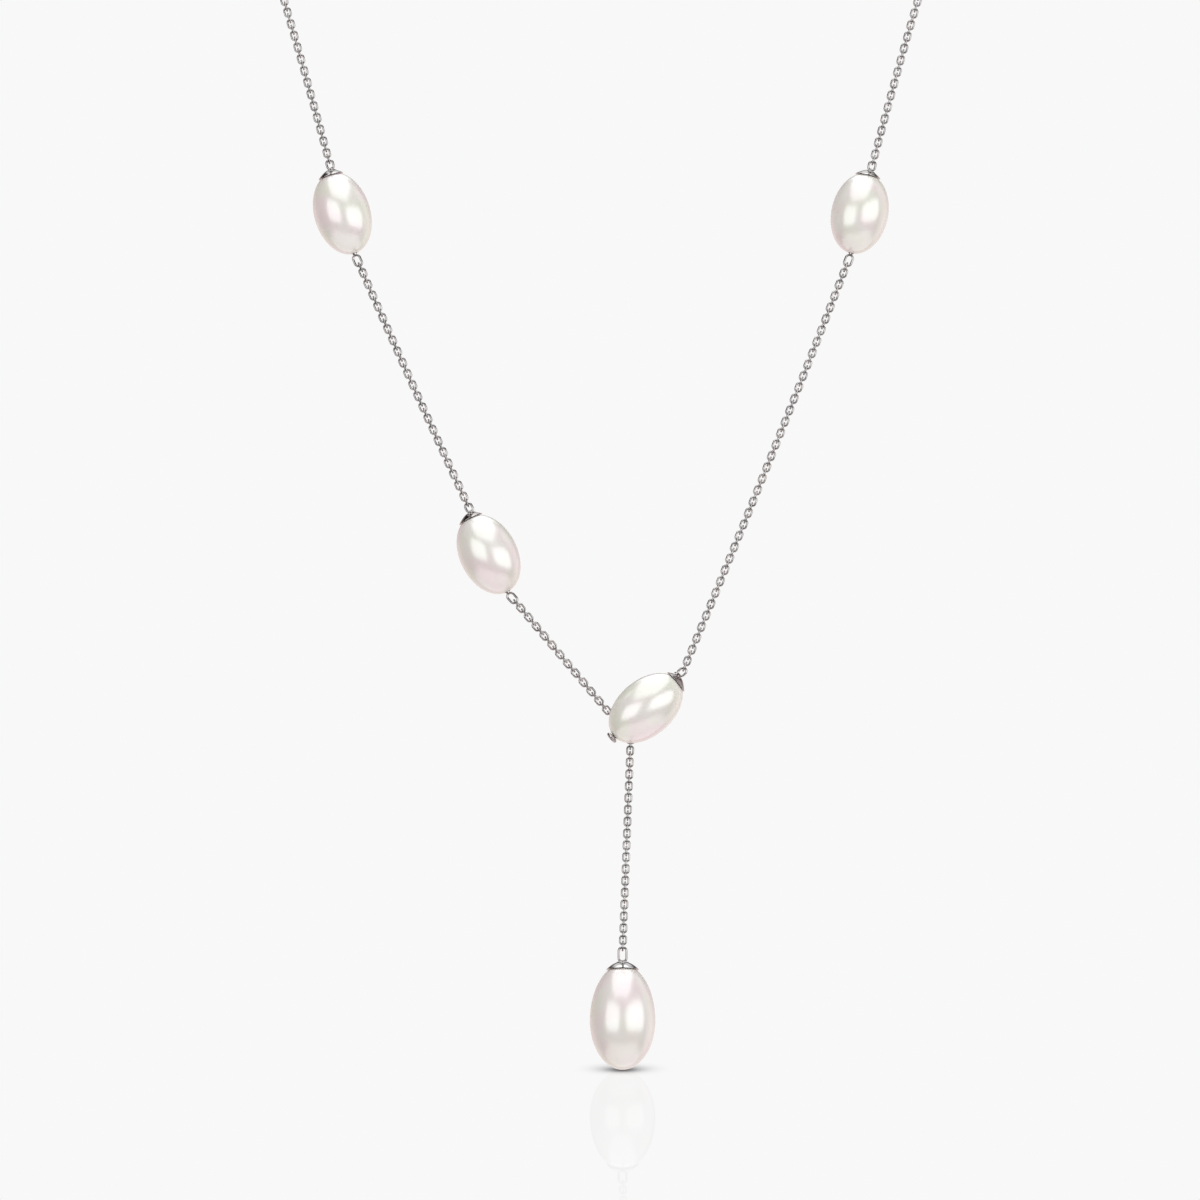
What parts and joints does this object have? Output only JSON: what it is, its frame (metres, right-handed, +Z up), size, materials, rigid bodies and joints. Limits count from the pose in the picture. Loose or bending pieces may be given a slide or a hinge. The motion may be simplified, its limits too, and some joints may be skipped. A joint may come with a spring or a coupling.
{
  "type": "pearl drop necklace",
  "caption": "Fine cable chain necklace in a Y shape, with capped oval pearls set along the chain and a larger pearl hanging free on a drop chain.",
  "frame": {"origin": "the nape of the neck, at the inner face of the clasp", "axes": "+Z up, the front of the necklace faces -Y, +X to the right as seen from the front"},
  "size_m": [0.0994, 0.0845, 0.1964],
  "materials": {
    "pearl": "soft pearly lustre, white with a faint pink and green overtone",
    "silver": "polished bright silver"
  },
  "bodies": {
    "necklace": {"pearl_upper_left": "pearl", "pearl_lower_left": "pearl", "pearl_right": "pearl", "pearl_centre": "pearl", "cap_upper_left": "silver", "cap_lower_left": "silver", "cap_right": "silver", "cap_centre": "silver", "chain_back_left": "silver", "chain_back_right": "silver", "chain_left": "silver", "chain_lower_left": "silver", "chain_right": "silver", "chain_drop": "silver", "clasp": "silver"},
    "drop": {"pearl_drop": "pearl", "cap_drop": "silver"}
  },
  "joints": [
    {"name": "drop_swing", "type": "hinge", "parent": "necklace", "child": "drop", "pos_m": [0.0028, -0.07765, -0.17831], "axis": [0, -0.9877, 0.1564], "range_deg": [-60, 60]}
  ]
}
